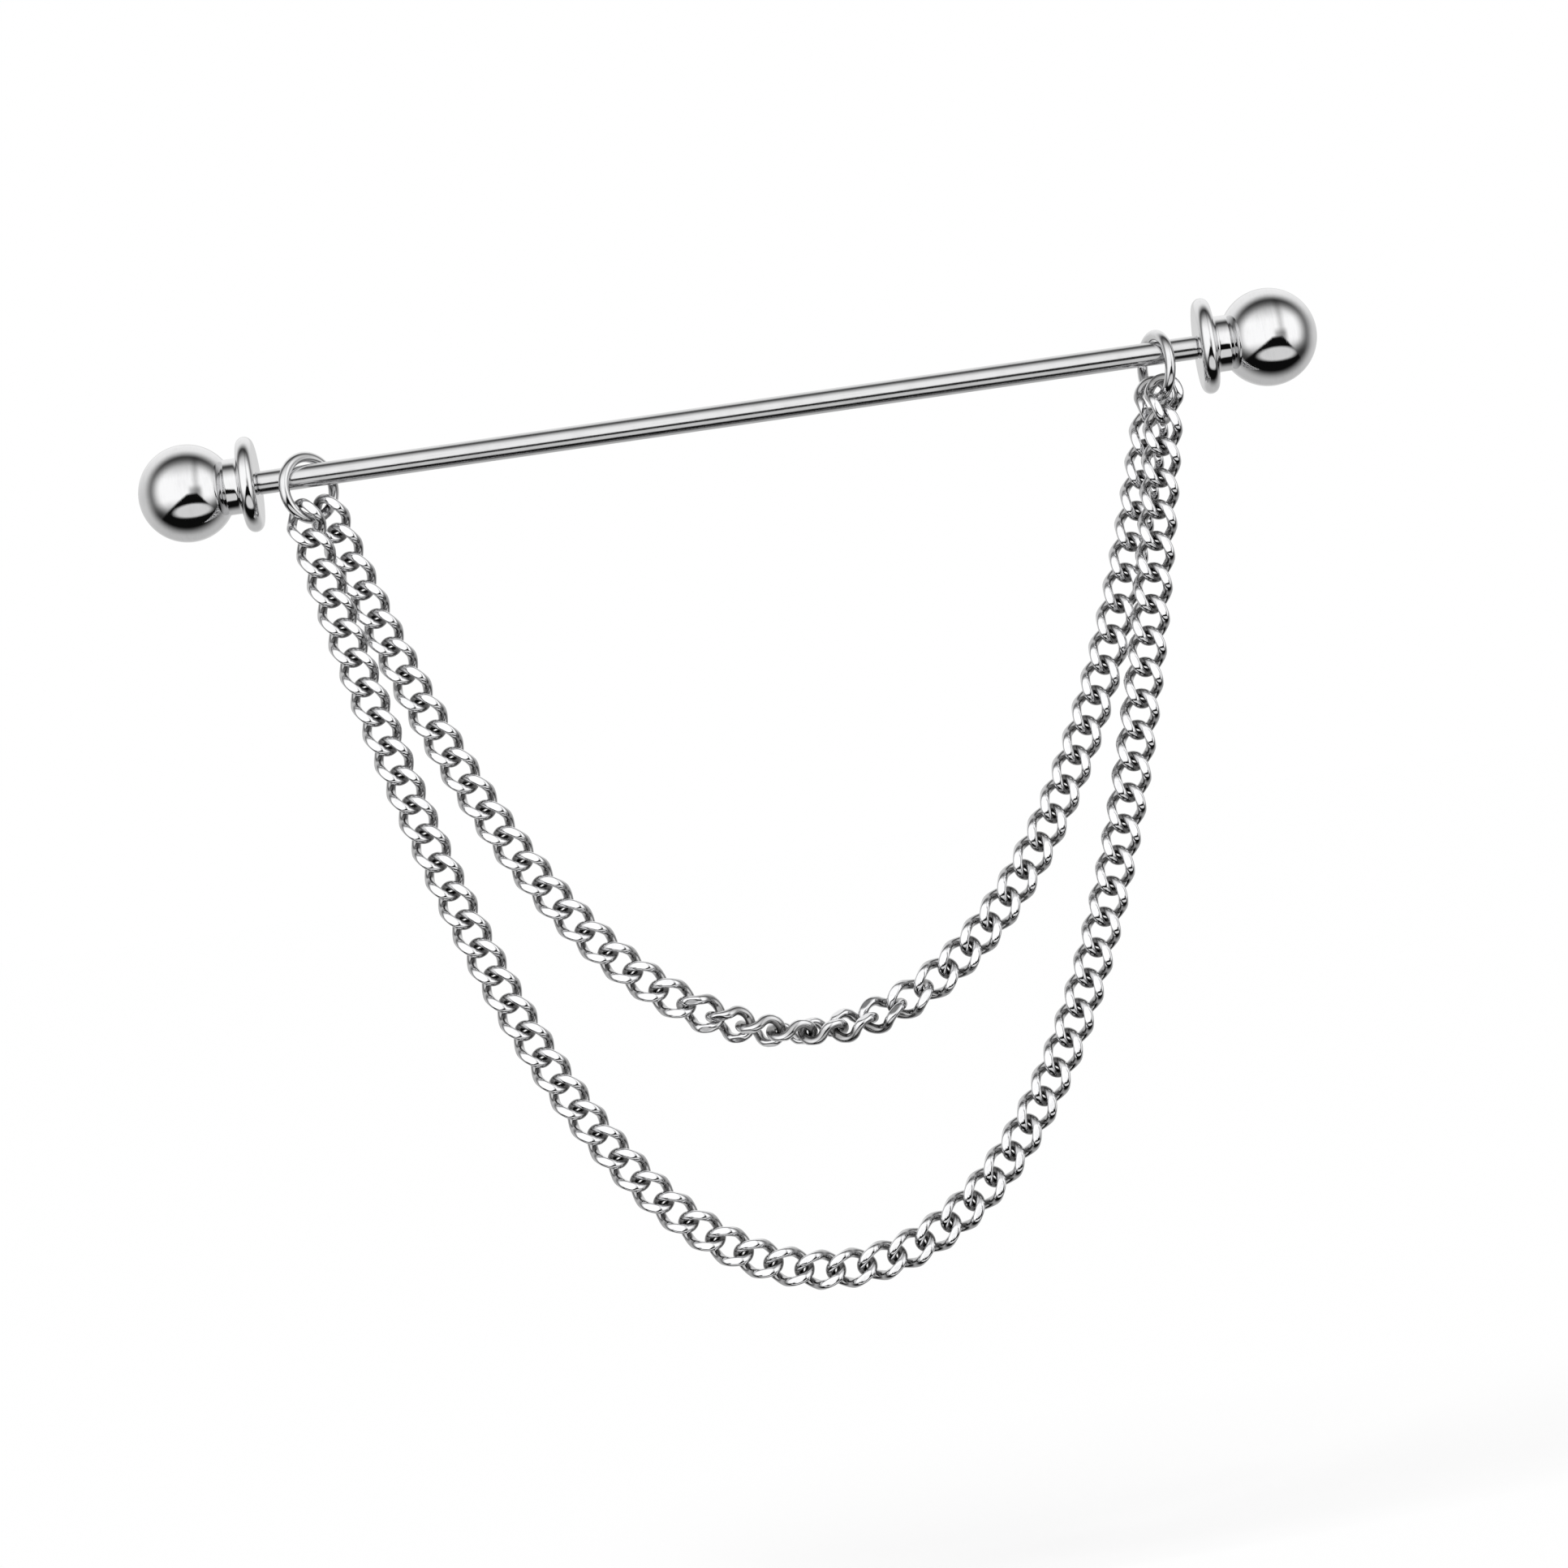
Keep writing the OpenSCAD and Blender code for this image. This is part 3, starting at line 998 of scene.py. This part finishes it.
@dataclass
class Studio:
    """Floor, light and surroundings of the picture, lengths in metres."""

    floor_height: float = -0.062
    floor_size: float = 6.0
    floor_tint: float = 0.42
    floor_glow: float = 0.562
    lamp_place: Point = (-0.25, -0.35, 0.5)
    lamp_aim: Point = (0.0, 0.0, -0.02)
    lamp_strength: float = 2.2
    lamp_spread: float = 28.0
    ambient: float = 0.5

    def build(self) -> None:
        """Builds the floor, the lamp and the surroundings."""
        self._floor()
        self._lamp()
        self._surroundings()
        LOG.info("studio stands")

    def _floor(self) -> None:
        """Adds the pale floor, which keeps the object's shadow."""
        made = bmesh.new()
        bmesh.ops.create_grid(made, x_segments=1, y_segments=1, size=self.floor_size / 2)
        mesh = bpy.data.meshes.new("pale_floor")
        made.to_mesh(mesh)
        made.free()
        floor = bpy.data.objects.new("pale_floor", mesh)
        floor.location.z = self.floor_height
        bpy.context.scene.collection.objects.link(floor)
        paper = bpy.data.materials.new("floor_paper")
        paper.use_nodes = True
        graph = Graph(paper.node_tree)
        seen = graph.value(graph.add("LightPath"), "Is Camera Ray")
        tint = (self.floor_tint, self.floor_tint, self.floor_tint, 1)
        matt = graph.add("BsdfDiffuse", Color=tint)
        glow = graph.add("Emission", Color=WHITE, Strength=seen * self.floor_glow)
        parts = (graph.value(matt, "BSDF"), graph.value(glow, "Emission"))
        both = graph.add("AddShader", ordered=parts)
        graph.add("OutputMaterial", Surface=graph.value(both, "Shader"))
        mesh.materials.append(paper)
        floor.visible_glossy = False

    def _lamp(self) -> None:
        """Adds one large soft lamp over the front left."""
        light = bpy.data.lights.new("soft_box", "SUN")
        light.energy = self.lamp_strength
        light.angle = math.radians(self.lamp_spread)
        lamp = bpy.data.objects.new("soft_box", light)
        lamp.location = self.lamp_place
        aim = Vector(self.lamp_aim) - lamp.location
        lamp.rotation_euler = aim.to_track_quat("-Z", "Y").to_euler()
        lamp.visible_glossy = False
        bpy.context.scene.collection.objects.link(lamp)

    def _surroundings(self) -> None:
        """Sets the world: white to the camera, the surroundings to the metal."""
        world = bpy.data.worlds.new("studio_world")
        bpy.context.scene.world = world
        world.use_nodes = True
        graph = Graph(world.node_tree)
        path = graph.add("LightPath")
        seen, mirrored = graph.value(path, "Is Camera Ray"), graph.value(path, "Is Glossy Ray")
        around = mirrored * Surroundings().level(graph) + (1 - mirrored) * self.ambient
        shine = graph.add("Background", Color=WHITE, Strength=seen + (1 - seen) * around)
        graph.add("OutputWorld", Surface=graph.value(shine, "Background"))


@dataclass
class PhotoCamera:
    """Camera at the viewing angle of the photograph, sizes in mm."""

    centre: Point = (0.15, 0.0, -19.03)
    distance: float = 260.0
    frame_width: float = 80.0
    roll: float = 8.24
    sensor: float = 36.0
    clip: Pair = (2.0, 20000.0)

    def build(self) -> None:
        """Adds the camera and makes it the scene's own."""
        data = bpy.data.cameras.new("photo_camera")
        data.sensor_width = self.sensor
        data.lens = self.sensor * self.distance / self.frame_width
        data.clip_start, data.clip_end = self.clip[0] * MM, self.clip[1] * MM
        camera = bpy.data.objects.new("photo_camera", data)
        c, s = math.cos(math.radians(self.roll)), math.sin(math.radians(self.roll))
        turn = Matrix(((c, s, 0), (0, 0, -1), (-s, c, 0))).to_4x4()
        x, y, z = self.centre
        turn.translation = Vector((x, y - self.distance, z)) * MM
        camera.matrix_world = turn
        bpy.context.scene.collection.objects.link(camera)
        bpy.context.scene.camera = camera
        LOG.info("camera stands %.0f mm away", self.distance)


def main() -> None:
    """Builds every piece in order."""
    logging.basicConfig(level=logging.INFO, format="%(name)s: %(message)s")
    bpy.context.scene.view_settings.view_transform = "Standard"
    PhotoCamera().build()
    Rod().build()
    BallEnd(Side.LEFT, "finial_left", "bar").build()
    BallEnd(Side.RIGHT, "finial_right", "right_end").build()
    JumpRing(Side.LEFT, "ring_left", "left_ring", turn=-46).build()
    JumpRing(Side.RIGHT, "ring_right", "right_ring", turn=22).build()
    Chain("outer", pairs=28).build()
    Chain("inner", pairs=20).build()
    Studio().build()


if __name__ == "__main__":
    main()
